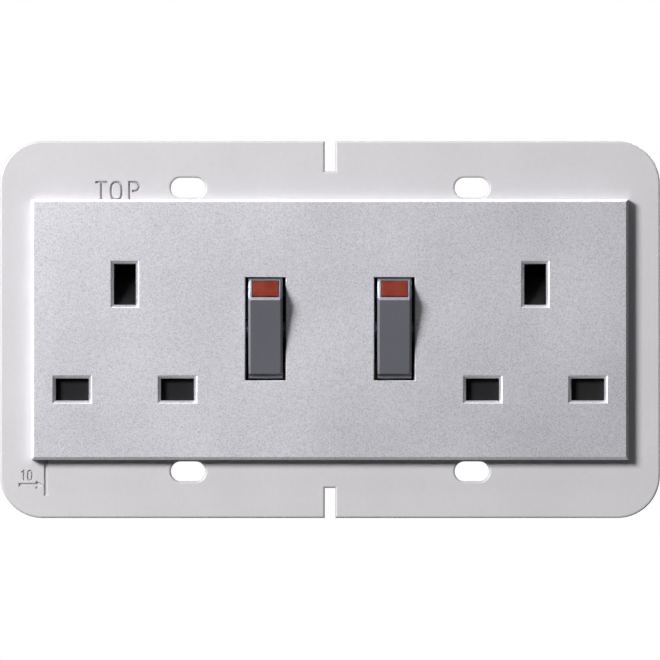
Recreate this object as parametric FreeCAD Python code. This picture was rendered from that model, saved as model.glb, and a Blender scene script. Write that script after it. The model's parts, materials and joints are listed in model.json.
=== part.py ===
import FreeCAD, Part
import math
import os

# A twin switched wall socket for three rectangular pins, on a flat metal support plate.
# Millimetres. +Z is up and +X is to the right as seen from the front, which faces -Y.
# The wall is the plane y = 0, the back of the plate, and x = 0, z = 0 is the centre of its four slots.

# support plate
plateWide = 139.5
plateHigh = 79.7
plateThick = 1.2
plateCorner = 9.0
fixingPitch = 60.0
slotLong = 7.3
slotWide = 4.2
notchWide = 2.2
notchDeep = 6.35

# front cover
coverWide = 126.0
coverHigh = 55.0
coverProud = 3.0
coverSkin = 2.0
coverWall = 1.5
coverBevel = 0.55
ribWide = 1.2
ribHigh = 28.0
ribX = 24.6

# the plug that fits: its pin sections, and where the pins stand
linePinWide = 6.35
linePinHigh = 4.0
earthPinWide = 4.0
earthPinHigh = 8.0
pinSpread = 11.1
pinRise = 22.2
socketX = 43.3
lineZ = -12.65
apertureRoom = 0.32

# seats and running clearances
seatGap = 0.1
slideGap = 0.1
pivotGap = 0.05
wallGap = 0.2

# how far solids reach into each other before they are joined, and cutters past what they cut
lap = 1.0
root = 0.5
same = 1e-6

# insulating front carrier behind the plate, with pads that stand through the plate's windows
carrierThick = 1.6
padWall = 1.2

# shutters
shutterThick = 1.7
shutterTravel = 5.8
shutterLap = 0.5
tongueWide = 4.4
wedgeLand = 1.0
wedgeThick = 2.85
wedgeRoom = 1.7
sweepRoom = 1.0
springRadius = 0.85
springWire = 0.3
springCoils = 4
coilRuns = 8
coilSlack = 0.1
springRoom = 7.9
pegRadius = 0.42
pegLong = 1.2

# rockers
rockerX = 13.6
rockerWide = 7.2
rockerWall = 1.2
rockerSwing = 14.0
pivotDeep = 3.2
ridgeZ = 6.6
ridgeProud = 4.2
topRadius = 11.15
topProud = 0.7
footRadius = 9.9
footProud = 0.2
footLedge = 0.6
ledgeDeep = 1.2
skirtBehind = 0.3
rockerBevel = 0.45
openingSide = 0.675
openingRoom = 0.32
openingUndercut = 0.45
axleRadius = 1.1
axleHalf = 7.6
hubHalf = 2.1
poleX = 4.5
sleeveHalf = 1.7
sleeveLong = 5.6
springSeat = 1.3
plungerHalf = 1.1
plungerLong = 3.9
plungerTip = 7.9
lensWide = 5.5
lensLong = 4.35
lensThick = 0.8
lensStart = 0.65
lensEdge = 0.12
lensGap = 0.08
lensLine = 0.3
lensDoorWide = 3.6
lensDoorLong = 2.6

# bridging bars, one pair to each rocker
bridgeY = 7.75
bridgeHalf = 7.0
bridgeWide = 3.4
bridgeThick = 0.8
bridgeSwing = 10.0
padHalf = 1.0
padThick = 0.4
padZ = 6.0
saddleTipHalf = 0.3
saddleHalf = 1.2
saddleSlope = 1.2

# moulded housing behind the wall
housingHigh = 51.0
housingDeep = 22.0
housingWall = 1.5
housingFloor = 2.0
housingCorner = 3.0
housingDraft = 0.5

# contact carriers
blockWall = 1.0
blockFloor = 1.4
linePocketX = 3.5
linePocketZ = 3.25
earthPocketX = 3.4
earthPocketZ = 5.1

# strip metal
strip = 0.8
leafThick = 0.6
leafGap = 0.05
leafWide = 5.8
leafFront = 3.5
leafSplit = 2.9
flare = 0.55
flareDeep = 1.65
earthFlareDeep = 1.1
leafTail = 1.2
busGap = 2.8
levelGap = 1.2
earthPlane = 14.8
busRise = 1.05
busDrop = 0.15
bandHalf = 2.0
nearBand = -1.0
farBand = -6.0
tailPost = 10.0

# terminals
terminalX = 8.0
terminalZ = 19.5
terminalWide = 8.0
terminalHigh = 7.0
terminalFront = 12.0
terminalBack = 20.5
wireRadius = 2.1
wireDeep = 5.8
wireEasing = 0.6
wireY = 15.0
terminalScrew = 1.75

# screws and snap hooks
screwX = 23.3
screwZ = 20.0
screwRadius = 1.45
screwHead = 2.75
headThick = 2.0
screwSeat = 16.5
bossWall = 1.2
partitionFoot = 14.4
postHalf = 1.0
hookWide = 5.0
hookThick = 1.4
hookCatch = 0.7
hookHigh = 20.0
topHookX = 45.0
footHookX = 14.0

# earth strap and rivet
strapWide = 4.0
strapZ = 20.0
strapEnd = 24.0
rivetRadius = 1.2
rivetHead = 1.9
rivetThick = 0.7

# neon lamps behind the rockers' windows
lampRadius = 1.5
lampLong = 6.6
lampY = 3.6
lampZ = 9.0
leadHalf = 0.22
resistorRadius = 0.9
resistorLong = 3.5

# planes along Y, from the front face to the back of the housing
coverFace = -plateThick - coverProud
coverBack = coverFace + coverSkin
padFace = coverBack + seatGap
shutterFront = padFace + slideGap
shutterBack = shutterFront + shutterThick
pocketFloor = shutterBack + slideGap
floorFace = housingDeep - housingFloor
blockFloorFace = floorFace - blockFloor
pivotY = coverFace + pivotDeep
saddleTip = bridgeY + pivotGap
livePlane = saddleTip + saddleSlope
neutralPlane = livePlane + strip + busGap
stripNear = neutralPlane + strip + levelGap
stripFar = stripNear + strip + levelGap
leafBack = stripNear

# the housing goes round the contact carriers
carrierReach = pinSpread + linePocketX + blockWall
housingWide = 2 * (socketX + carrierReach + seatGap + housingWall + housingDraft)

# heights
earthZ = lineZ + pinRise
earthFoot = earthZ - earthPinHigh / 2
earthTop = earthZ + earthPinHigh / 2
shutterFoot = lineZ - linePinHigh / 2 - apertureRoom - shutterLap
shutterTop = lineZ + linePinHigh / 2 + apertureRoom + shutterLap
wedgeTop = earthFoot + shutterTravel
wedgeBack = shutterFront + shutterTravel + wedgeLand
springFoot = shutterFoot - springRoom
barHalf = pinSpread + linePinWide / 2 + apertureRoom + shutterLap - seatGap

# openings of the cover round the rockers, whose ends turn about the pivot
openingWide = rockerWide + 2 * openingSide
openingTop = math.sqrt(topRadius ** 2 - pivotDeep ** 2) + openingRoom
openingFoot = footRadius + footLedge + wallGap

# windows of the plate, each round a pad with its wall
padRim = padWall + wallGap
windowHalfX = barHalf + slideGap + padRim
windowTop = earthTop + apertureRoom + padRim
windowFoot = padRim - springFoot
switchWindowX = rockerX + axleHalf + wallGap + padRim
switchWindowZ = openingTop + openingUndercut + seatGap + padRim


def vector(x, y, z):
    return FreeCAD.Vector(x, y, z)


def box(x0, x1, y0, y1, z0, z1):
    return Part.makeBox(x1 - x0, y1 - y0, z1 - z0, vector(x0, y0, z0))


def centred(x, halfX, y0, y1, z, halfZ):
    return box(x - halfX, x + halfX, y0, y1, z - halfZ, z + halfZ)


def rod(radius, start, end):
    return Part.makeCylinder(radius, (end - start).Length, start, end - start)


def profileAlongX(points, x0, x1):
    corners = [vector(x0, y, z) for y, z in points]
    return Part.Face(Part.makePolygon(corners + corners[:1])).extrude(vector(x1 - x0, 0, 0))


def profileAlongZ(points, z0, z1):
    corners = [vector(x, y, z0) for x, y in points]
    return Part.Face(Part.makePolygon(corners + corners[:1])).extrude(vector(0, 0, z1 - z0))


# a rectangle in the plane y with its corners cut off, as a wire
def cutWire(halfX, y, halfZ, corner):
    quarter = [(halfX - corner, halfZ), (halfX, halfZ - corner)]
    points = quarter + [(x, -z) for x, z in reversed(quarter)]
    points += [(-x, -z) for x, z in quarter] + [(-x, z) for x, z in reversed(quarter)]
    corners = [vector(x, y, z) for x, z in points]
    return Part.makePolygon(corners + corners[:1])


def roundedSlab(x, halfX, y0, y1, z, halfZ, radius):
    slab = centred(x, halfX, y0, y1, z, halfZ)
    return slab.makeFillet(radius, [e for e in slab.Edges if abs(e.tangentAt(e.FirstParameter).y) > 0.99])


# a straight slot through Y with round ends, lying along X
def slotThrough(x, z, longSide, shortSide, y0, y1):
    radius = shortSide / 2
    reach = longSide / 2 - radius
    edges = []
    for way in (1, -1):
        top = vector(x + way * reach, y0, z + way * radius)
        tip = vector(x + way * (reach + radius), y0, z)
        foot = vector(x + way * reach, y0, z - way * radius)
        edges.append(Part.Arc(top, tip, foot).toShape())
        edges.append(Part.makeLine(foot, vector(x - way * reach, y0, z - way * radius)))
    return Part.Face(Part.Wire(edges)).extrude(vector(0, y1 - y0, 0))


def fused(parts):
    whole = parts[0].multiFuse(parts[1:]) if len(parts) > 1 else parts[0]
    return whole.removeSplitter()


def cutAll(shape, tools):
    return shape.cut(Part.makeCompound(tools)) if tools else shape


def turned(shape, degrees, y, z):
    copy = shape.copy()
    copy.rotate(vector(0, y, z), vector(1, 0, 0), degrees)
    return copy


def write(name, shape):
    shape.exportStep("parts/" + name + ".step")


sides = {"left": -1, "right": 1}
linePins = {"live": 1, "neutral": -1}


# where each pin enters, with its half width and half height
def pinPlaces(side):
    x = side * socketX
    places = [(x + way * pinSpread, linePinWide / 2, lineZ, linePinHigh / 2) for way in linePins.values()]
    return places + [(x, earthPinWide / 2, earthZ, earthPinHigh / 2)]


def makeSupportPlate():
    plate = roundedSlab(0, plateWide / 2, -plateThick, 0, 0, plateHigh / 2, plateCorner)
    through = (-plateThick - lap, lap)
    tools = []
    for x in (-fixingPitch / 2, fixingPitch / 2):
        for z in (-fixingPitch / 2, fixingPitch / 2):
            tools.append(slotThrough(x, z, slotLong, slotWide, *through))
    for way in (-1, 1):
        tools.append(centred(0, notchWide / 2, *through, way * plateHigh / 2, notchDeep))
        middle = (windowTop - windowFoot) / 2
        half = (windowTop + windowFoot) / 2
        tools.append(centred(way * socketX, windowHalfX, *through, middle, half))
        for z in (-screwZ, screwZ):
            start = vector(way * screwX, through[0], z)
            tools.append(rod(screwRadius + pivotGap, start, vector(way * screwX, through[1], z)))
    tools.append(centred(0, switchWindowX, *through, 0, switchWindowZ))
    for x, way in hookPlaces():
        tools.append(hookHole(x, way, through, seatGap))
    rivetZ = (strapZ + strapEnd) / 2
    tools.append(rod(rivetRadius, vector(0, through[0], rivetZ), vector(0, through[1], rivetZ)))
    return cutAll(plate, tools)


def hookPlaces():
    return [(side * topHookX, 1) for side in (-1, 1)] + [(side * footHookX, -1) for side in (-1, 1)]


def hookHole(x, way, through, room):
    inner = hookHigh - hookCatch - wallGap
    outer = hookHigh + hookThick + room
    middle = way * (inner + outer) / 2
    return centred(x, hookWide / 2 + wallGap, *through, middle, (outer - inner) / 2)


def hook(x, way):
    tip = carrierThick - wallGap
    points = [
        (coverBack - root, hookHigh),
        (coverBack - root, hookHigh + hookThick),
        (pivotGap, hookHigh + hookThick),
        (pivotGap, hookHigh + hookThick + hookCatch),
        (tip, hookHigh + hookThick),
        (tip, hookHigh),
    ]
    return profileAlongX([(y, way * z) for y, z in points], x - hookWide / 2, x + hookWide / 2)


def rockerOpening(x):
    points = [
        (coverFace - lap, -openingFoot),
        (coverFace - lap, openingTop),
        (coverFace, openingTop),
        (coverBack + seatGap, openingTop + openingUndercut),
        (coverBack + seatGap, -openingFoot - openingUndercut / 2),
        (coverFace, -openingFoot),
    ]
    return profileAlongX(points, x - openingWide / 2, x + openingWide / 2)


def makeFrontCover():
    rim = -plateThick
    shell = box(-coverWide / 2, coverWide / 2, coverFace, rim, -coverHigh / 2, coverHigh / 2)
    hollow = centred(0, coverWide / 2 - coverWall, coverBack, rim + lap, 0, coverHigh / 2 - coverWall)
    shell = shell.cut(hollow)
    apertures = []
    for side in sides.values():
        for x, halfX, z, halfZ in pinPlaces(side):
            apertures.append(centred(x, halfX + apertureRoom, coverFace - lap, 0, z, halfZ + apertureRoom))
    shell = cutAll(shell, apertures)
    front = [e for e in shell.Edges if all(abs(v.Y - coverFace) < same for v in e.Vertexes)]
    shell = shell.makeChamfer(coverBevel, front)
    shell = cutAll(shell, [rockerOpening(side * rockerX) for side in sides.values()])
    added = [shell]
    for side in sides.values():
        added.append(centred(side * ribX, ribWide / 2, coverBack - root, rim, 0, ribHigh / 2))
    added += [hook(x, way) for x, way in hookPlaces()]
    return fused(added)


def makeFrontInsulator():
    rim = cutWire(housingWide / 2, 0, housingHigh / 2, housingCorner)
    flange = Part.Face(rim).extrude(vector(0, carrierThick, 0))
    pads = [flange]
    through = (padFace - lap, carrierThick + lap)
    middle = (windowTop - windowFoot) / 2
    half = (windowTop + windowFoot) / 2 - wallGap
    for side in sides.values():
        pads.append(centred(side * socketX, windowHalfX - wallGap, padFace, carrierThick, middle, half))
    pads.append(centred(0, switchWindowX - wallGap, padFace, carrierThick, 0, switchWindowZ - wallGap))
    body = fused(pads)
    tools = []
    for side in sides.values():
        x = side * socketX
        pocket = (padFace - lap, pocketFloor)
        low = shutterFoot - shutterTravel - wallGap
        barRoom = barHalf + slideGap
        springRoomHalf = springRadius + wallGap
        tools.append(box(x - barRoom, x + barRoom, *pocket, low, shutterTop + slideGap))
        tools.append(box(x - springRoomHalf, x + springRoomHalf, *pocket, springFoot, low + lap))
        tongueHalf = tongueWide / 2 + slideGap
        wedgeFoot = earthFoot - wedgeThick - shutterTravel - wallGap
        tools.append(box(x - tongueHalf, x + tongueHalf, *pocket, shutterTop - lap, wedgeFoot + lap))
        tools.append(box(x - tongueHalf, x + tongueHalf, *through, wedgeFoot, earthTop + apertureRoom))
        for pinX, halfX, z, halfZ in pinPlaces(side)[:2]:
            tools.append(centred(pinX, halfX + apertureRoom, *through, z, halfZ + apertureRoom))
        tools += rockerWell(side * rockerX, through)
        for z in (-screwZ, screwZ):
            tools.append(centred(side * screwX, screwRadius + seatGap, *through, z, screwRadius + seatGap))
    for x, way in hookPlaces():
        tools.append(hookHole(x, way, through, hookCatch + wallGap))
    strapMiddle = (strapZ - strip + strapEnd) / 2
    strapHalf = (strapEnd - strapZ + strip) / 2 + wallGap
    tools.append(centred(0, strapWide / 2 + wallGap, *through, strapMiddle, strapHalf))
    return cutAll(body, tools)


# the well under a rocker, with the slots in which its axle turns
def rockerWell(x, through):
    wellTop = openingTop + openingUndercut + seatGap
    wellFoot = -openingFoot - openingUndercut / 2 - seatGap
    sleeveReach = poleX + sleeveHalf + wallGap
    turn = math.radians(rockerSwing / 2)
    sweep = sleeveLong * math.sin(turn) + sleeveHalf * math.cos(turn) + wallGap
    axleRoom = axleRadius + pivotGap
    wellHalf = rockerWide / 2 + wallGap * 2
    axleReach = axleHalf + wallGap
    return [
        box(x - wellHalf, x + wellHalf, *through, wellFoot, wellTop),
        centred(x, sleeveReach, *through, 0, sweep),
        rod(axleRoom, vector(x - axleReach, pivotY, 0), vector(x + axleReach, pivotY, 0)),
        centred(x, axleReach, padFace - lap, pivotY, 0, axleRoom),
    ]


def makeShutter(side):
    x = side * socketX
    bar = box(x - barHalf, x + barHalf, shutterFront, shutterBack, shutterFoot, shutterTop)
    tongueHalf = tongueWide / 2
    wedgeFoot = earthFoot - wedgeThick
    depths = (shutterFront, shutterBack)
    tongue = box(x - tongueHalf, x + tongueHalf, *depths, shutterTop - lap, earthFoot - lap)
    points = [
        (shutterFront, wedgeFoot - lap),
        (shutterFront, earthFoot),
        (shutterFront + shutterTravel, wedgeTop),
        (wedgeBack, wedgeTop),
        (wedgeBack, wedgeTop - wedgeThick),
        (shutterBack, wedgeTop - wedgeThick - (wedgeBack - shutterBack)),
        (shutterBack, wedgeFoot - lap),
    ]
    wedge = profileAlongX(points, x - tongueHalf, x + tongueHalf)
    pegY = (shutterFront + shutterBack) / 2
    pegTop = vector(x, pegY, shutterFoot + root)
    peg = rod(pegRadius, pegTop, vector(x, pegY, shutterFoot - pegLong))
    return fused([bar, tongue, wedge, peg])


# a coil of square wire along the line from start to end, bent in short straight runs
def coil(radius, wire, coils, start, end):
    half = wire / 2
    middle = radius - half
    steps = coils * coilRuns
    rise = ((end - start).Length - wire - coilSlack) / steps
    turns = [2 * math.pi * i / coilRuns for i in range(steps + 1)]
    points = []
    for i, turn in enumerate(turns):
        points.append(vector(middle * math.cos(turn), middle * math.sin(turn), rise * i + half))
    corners = [(middle - half, 0), (middle + half, 0), (middle + half, wire), (middle - half, wire)]
    section = Part.makePolygon([vector(x, 0, z) for x, z in corners + corners[:1]])
    solid = Part.makePolygon(points).makePipeShell([section], True, False, 1)
    solid.Placement = FreeCAD.Placement(start, FreeCAD.Rotation(vector(0, 0, 1), end - start))
    return solid


def makeShutterSpring(side):
    pegY = (shutterFront + shutterBack) / 2
    foot = vector(side * socketX, pegY, springFoot)
    return coil(springRadius, springWire, springCoils, foot, foot + vector(0, 0, shutterFoot - springFoot))


# a point on a circle about the rocker's pivot, at a given depth
def onArc(radius, y):
    return math.sqrt(radius ** 2 - (y - pivotY) ** 2)


def arcEdge(radius, y0, y1, x, way):
    middle = (y0 + y1) / 2
    points = [vector(x, y, way * onArc(radius, y)) for y in (y0, middle, y1)]
    return Part.Arc(*points).toShape()


# outline of the rocker in the plane x: ridge, window slope, round end, skirt, round foot with its ledge
def rockerOutline(x, inset, skirtY):
    topY = coverFace - topProud + inset
    footY = coverFace - footProud + inset
    ledgeY = footY + ledgeDeep
    topR = topRadius - inset
    footR = footRadius - inset
    skirtR = footR + footLedge
    ridge = vector(x, coverFace - ridgeProud + inset, ridgeZ - inset / 2)
    foot = vector(x, footY, -onArc(footR, footY))
    return Part.Face(Part.Wire([
        Part.makeLine(foot, ridge),
        Part.makeLine(ridge, vector(x, topY, onArc(topR, topY))),
        arcEdge(topR, topY, skirtY, x, 1),
        Part.makeLine(vector(x, skirtY, onArc(topR, skirtY)), vector(x, skirtY, -onArc(skirtR, skirtY))),
        arcEdge(skirtR, skirtY, ledgeY, x, -1),
        Part.makeLine(vector(x, ledgeY, -onArc(skirtR, ledgeY)), vector(x, ledgeY, -onArc(footR, ledgeY))),
        arcEdge(footR, ledgeY, footY, x, -1),
    ]))


# the window slope runs from the ridge to the round end: u along it, w out of it
def slopePoint(u, w):
    topY = coverFace - topProud
    along = vector(0, topY, onArc(topRadius, topY)) - vector(0, coverFace - ridgeProud, ridgeZ)
    along.normalize()
    return (coverFace - ridgeProud + along.y * u - along.z * w, ridgeZ + along.z * u + along.y * w)


def slopeBlock(x, halfX, u0, u1, w0, w1):
    corners = [slopePoint(u, w) for u, w in ((u0, w0), (u1, w0), (u1, w1), (u0, w1))]
    return profileAlongX(corners, x - halfX, x + halfX)


# unit step along the plungers, which point half the rocker's swing above the level at rest
def plungerStep(radius):
    turn = math.radians(rockerSwing / 2)
    return (pivotY + radius * math.cos(turn), radius * math.sin(turn))


# a square bar along the plungers' line, from one distance from the pivot to another
def plungerBar(x, half, start, end):
    return turned(centred(x, half, pivotY + start, pivotY + end, 0, half), rockerSwing / 2, pivotY, 0)


# how far forward the rocker's face lies at a height
def rockerFace(z):
    footY = coverFace - footProud
    footZ = -onArc(footRadius, footY)
    return footY - (ridgeProud - footProud) * (z - footZ) / (ridgeZ - footZ)


def poles(side):
    return {"live": side * (rockerX - poleX), "neutral": side * (rockerX + poleX)}


def makeRocker(side):
    x = side * rockerX
    half = rockerWide / 2
    skirtY = coverBack + skirtBehind
    body = rockerOutline(x - half, 0, skirtY).extrude(vector(rockerWide, 0, 0))
    ridgeY = coverFace - ridgeProud
    bevelled = []
    for edge in body.Edges:
        ends = [v.Point for v in edge.Vertexes]
        straight = isinstance(edge.Curve, (Part.Line, Part.LineSegment))
        if straight and all(p.y < coverFace - footProud + same for p in ends):
            if any(abs(p.y - ridgeY) < same for p in ends):
                bevelled.append(edge)
    body = body.makeChamfer(rockerBevel, bevelled)
    cavity = rockerOutline(x - half + rockerWall, rockerWall, pivotY)
    body = body.cut(cavity.extrude(vector(rockerWide - 2 * rockerWall, 0, 0)))
    hub = centred(x, half, pivotY - hubHalf, pivotY + hubHalf, 0, hubHalf)
    rib = centred(x, half - rockerWall / 2, rockerFace(0) + rockerWall / 2, pivotY, 0, rockerWall)
    axle = rod(axleRadius, vector(x - axleHalf, pivotY, 0), vector(x + axleHalf, pivotY, 0))
    sleeves = [plungerBar(poleAt, sleeveHalf, 0, sleeveLong) for poleAt in poles(side).values()]
    body = fused([body, hub, rib, axle] + sleeves)
    boreHalf = plungerHalf + pivotGap
    bores = [plungerBar(poleAt, boreHalf, springSeat, sleeveLong + lap) for poleAt in poles(side).values()]
    room = lensWide / 2 + lensGap
    deep = lensThick + lensGap
    recess = slopeBlock(x, room, lensStart - lensLine, lensStart + lensLong + lensGap, -deep, lap)
    middle = lensStart + lensLong / 2
    doorHalf = lensDoorLong / 2
    light = slopeBlock(x, lensDoorWide / 2, middle - doorHalf, middle + doorHalf, -rockerWall * 2, 0)
    return cutAll(body, bores + [recess, light])


def makeLens(side):
    lens = slopeBlock(side * rockerX, lensWide / 2, lensStart, lensStart + lensLong, -lensThick, 0)
    front = slopePoint(lensStart + lensLong / 2, 0)
    face = min(lens.Faces, key=lambda f: f.CenterOfMass.distanceToPoint(vector(side * rockerX, *front)))
    return lens.makeChamfer(lensEdge, face.Edges)


# a square pin whose end is a blunt wedge across the bridge that it presses
def makePlunger(x):
    start = pivotY + plungerTip - plungerLong
    end = pivotY + plungerTip
    points = [(start, -plungerHalf), (end - plungerHalf, -plungerHalf), (end, 0)]
    points += [(end - plungerHalf, plungerHalf), (start, plungerHalf)]
    return turned(profileAlongX(points, x - plungerHalf, x + plungerHalf), rockerSwing / 2, pivotY, 0)


def makePlungerSpring(x):
    start = vector(x, *plungerStep(springSeat))
    end = vector(x, *plungerStep(plungerTip - plungerLong))
    return coil(plungerHalf, springWire, springCoils - 1, start, end)


# a spring bar that rocks on its saddle, with a silver inlay where it meets the fixed contact
def makeBridge(x):
    bar = centred(x, bridgeWide / 2, bridgeY - bridgeThick, bridgeY, 0, bridgeHalf)
    corners = [e for e in bar.Edges if abs(e.tangentAt(e.FirstParameter).y) > 0.99]
    bar = bar.makeChamfer(bridgeWide / 4, corners)
    pad = centred(x, padHalf, bridgeY - bridgeThick / 2, bridgeY + padThick, padZ, padHalf)
    return turned(fused([bar, pad]), -bridgeSwing / 2, bridgeY, 0)


# the face that the bridge's pad meets when the switch is on
turnedPad = math.radians(bridgeSwing / 2)
fixedFace = bridgeY + padThick * math.cos(turnedPad) + (padZ + padHalf) * math.sin(turnedPad) + pivotGap
leadTop = lampZ + leadHalf * 2
busFoot = earthZ + busRise
busTop = earthTop - busDrop
leafHalf = linePinHigh / 2 + leafGap
earthLeafHalf = earthPinWide / 2 + leafGap


# near contacts lie next to the switches and far ones at the ends, each on its own level
def level(pinX):
    return stripNear if abs(pinX) < socketX else stripFar


def bandFoot(pinX):
    return nearBand if abs(pinX) < socketX else farBand


# a folded clip round a flat pin, its mouth flared, each leaf split into two fingers
def makeLineContact(side, pin):
    pinX = side * socketX + linePins[pin] * pinSpread
    outer = leafHalf + leafThick
    mouth = leafFront + flareDeep
    points = [(leafFront, outer + flare), (mouth, outer), (leafBack, outer)]
    points += [(y, -z) for y, z in reversed(points)]
    inner = [(leafFront, leafHalf + flare), (mouth, leafHalf), (leafBack - leafThick, leafHalf)]
    points += [(y, -z) for y, z in inner] + list(reversed(inner))
    clip = profileAlongX([(y, lineZ + z) for y, z in points], pinX - leafWide / 2, pinX + leafWide / 2)
    split = centred(pinX, strip / 2, leafFront - lap, leafBack - leafSplit, lineZ, outer + lap)
    clip = clip.cut(split)
    plane = level(pinX)
    foot = bandFoot(pinX)
    top = foot + bandHalf * 2
    poleAt = poles(side)[pin]
    half = bridgeWide / 2 - wallGap
    left, right = sorted((pinX, poleAt))
    seat = fixedFace + padThick
    pole = (poleAt - half, poleAt + half)
    pieces = [
        clip,
        box(pinX - half, pinX + half, plane, plane + strip, lineZ - half, top),
        box(left - half, right + half, plane, plane + strip, foot, top),
        box(*pole, plane, plane + strip, foot, leadTop),
        box(*pole, seat, plane + strip, padZ + padHalf, padZ + padHalf + strip),
        box(*pole, seat, seat + strip, padZ - padHalf, padZ + padHalf),
        centred(poleAt, padHalf, fixedFace, seat + strip / 2, padZ, padHalf),
    ]
    if plane > leafBack:
        pieces.append(centred(pinX, half, leafBack - strip, plane, lineZ, strip / 2))
    return fused(pieces)


def makeEarthContact(side):
    x = side * socketX
    outer = earthLeafHalf + leafThick
    front = wedgeBack + wedgeRoom
    back = earthPlane + leafTail
    mouth = front + earthFlareDeep
    foot = earthFoot - wallGap
    top = earthTop + wallGap
    leaves = []
    for way in (-1, 1):
        points = [
            (earthLeafHalf + flare, front),
            (earthLeafHalf, mouth),
            (earthLeafHalf, back),
            (outer, back),
            (outer, mouth),
            (outer + flare, front),
        ]
        leaves.append(profileAlongZ([(x + way * a, y) for a, y in points], foot, top + leafThick))
    return fused(leaves + [box(x - outer, x + outer, mouth, back, top, top + leafThick)])


# a saddle on which a bridge rocks, standing on a busbar in the given plane
def saddle(x, plane):
    half = bridgeWide / 2 - wallGap
    shoulder = saddleTip + saddleSlope
    points = [(saddleTip, -saddleTipHalf), (saddleTip, saddleTipHalf)]
    points += [(shoulder, saddleHalf), (shoulder, -saddleHalf)]
    foot = centred(x, half, shoulder, plane + root, 0, saddleHalf)
    return fused([profileAlongX(points, x - half, x + half), foot])


def makeBusbar(pin):
    plane = livePlane if pin == "live" else neutralPlane
    places = [poles(side)[pin] for side in sides.values()]
    half = bridgeWide / 2
    tailX = terminalX * linePins[pin]
    innerFace = -terminalZ + terminalHigh / 2
    back = neutralPlane + strip
    tail = [
        (plane, bandHalf),
        (plane + strip, bandHalf),
        (plane + strip, innerFace + bandHalf * 2),
        (back, innerFace + bandHalf * 2),
        (back, innerFace),
        (back - strip, innerFace),
        (back - strip, innerFace + bandHalf * 2 - strip),
        (plane, innerFace + bandHalf * 2 - strip),
    ]
    if pin == "neutral":
        tail = [(plane, bandHalf), (back, bandHalf), (back, innerFace), (plane, innerFace)]
    band = box(min(places) - half, max(places) + half, plane, plane + strip, -bandHalf, bandHalf)
    tails = [profileAlongX(tail, tailX - bandHalf, tailX + bandHalf)]
    return fused([band] + tails + [saddle(x, plane) for x in places])


def makeEarthBusbar():
    reach = socketX - earthLeafHalf - leafThick
    depths = (earthPlane, earthPlane + strip)
    bar = box(-reach, reach, *depths, busFoot, busTop)
    innerFace = terminalZ - terminalHigh / 2
    tabs = []
    for way in (-1, 1):
        x = way * terminalX
        tabs.append(box(x - bandHalf, x + bandHalf, *depths, busTop - lap, innerFace))
    return fused([bar] + tabs)


def terminalPlaces():
    return {
        "live_terminal": (terminalX, -1),
        "neutral_terminal": (-terminalX, -1),
        "left_earth_terminal": (-terminalX, 1),
        "right_earth_terminal": (terminalX, 1),
    }


def makeTerminal(x, way):
    z = way * terminalZ
    block = centred(x, terminalWide / 2, terminalFront, terminalBack, z, terminalHigh / 2)
    mouth = way * (terminalZ + terminalHigh / 2)
    wire = rod(wireRadius, vector(x, wireY, mouth - way * wireDeep), vector(x, wireY, mouth + way * lap))
    thread = rod(terminalScrew + pivotGap, vector(x, wireY, z), vector(x, terminalBack + lap, z))
    return block.cut(wire).cut(thread)


def makeTerminalScrews():
    screws = []
    for x, way in terminalPlaces().values():
        z = way * terminalZ
        top = terminalBack + strip
        start = wireY + wireRadius + slideGap
        screws.append(rod(terminalScrew, vector(x, start, z), vector(x, top, z)))
    return Part.makeCompound(screws)


def makeHousingScrews():
    screws = []
    for x in (-screwX, screwX):
        for z in (-screwZ, screwZ):
            shank = rod(screwRadius, vector(x, -plateThick, z), vector(x, screwSeat + headThick, z))
            head = rod(screwHead, vector(x, screwSeat, z), vector(x, screwSeat + headThick, z))
            screws.append(fused([shank, head]))
    return Part.makeCompound(screws)


# moulded tubes round the contacts of one socket, standing on a common floor
def makeContactCarrier(side):
    middleX = side * socketX
    foot = lineZ - linePocketZ - blockWall
    top = earthZ + earthPocketZ + blockWall
    floor = centred(middleX, carrierReach, blockFloorFace, floorFace, (foot + top) / 2, (top - foot) / 2)
    solids = [floor]
    pockets = []
    notches = []
    rests = []
    for pin, way in linePins.items():
        x = middleX + way * pinSpread
        wall = (linePocketX + blockWall, linePocketZ + blockWall)
        solids.append(centred(x, wall[0], carrierThick, floorFace, lineZ, wall[1]))
        pockets.append(centred(x, linePocketX, carrierThick - lap, blockFloorFace, lineZ, linePocketZ))
        plane = level(x)
        half = bridgeWide / 2
        notchTop = lineZ + linePocketZ + blockWall + lap
        notches.append(box(x - half, x + half, plane - wallGap, blockFloorFace, lineZ, notchTop))
        rests.append(centred(x, half - wallGap, plane + strip, blockFloorFace + root, lineZ, blockWall))
    wall = earthPocketX + blockWall
    solids.append(centred(middleX, wall, carrierThick, floorFace, earthZ, earthPocketZ + blockWall))
    pockets.append(centred(middleX, earthPocketX, carrierThick - lap, blockFloorFace, earthZ, earthPocketZ))
    sweepFoot = wedgeTop - wedgeThick - (wedgeBack - shutterBack) - shutterTravel - sweepRoom
    sweepTop = earthZ + earthPocketZ + blockWall + lap
    sweep = (carrierThick - lap, wedgeBack + wallGap * 2)
    tongueHalf = tongueWide / 2 + wallGap
    notches.append(box(middleX - tongueHalf, middleX + tongueHalf, *sweep, sweepFoot, sweepTop))
    inner = sorted((middleX - side * (wall + lap), middleX))
    depths = (earthPlane - wallGap, earthPlane + strip + wallGap)
    notches.append(box(*inner, *depths, busFoot - wallGap, busTop + wallGap))
    back = earthPlane + leafTail
    for way in (-1, 1):
        ends = sorted((middleX + way * (earthLeafHalf + wallGap), middleX + way * (earthPocketX + root)))
        rests.append(box(*ends, back, blockFloorFace + root, earthZ - earthPocketZ, earthZ + earthPocketZ))
    body = cutAll(fused(solids), pockets + notches)
    return fused([body] + rests)


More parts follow.
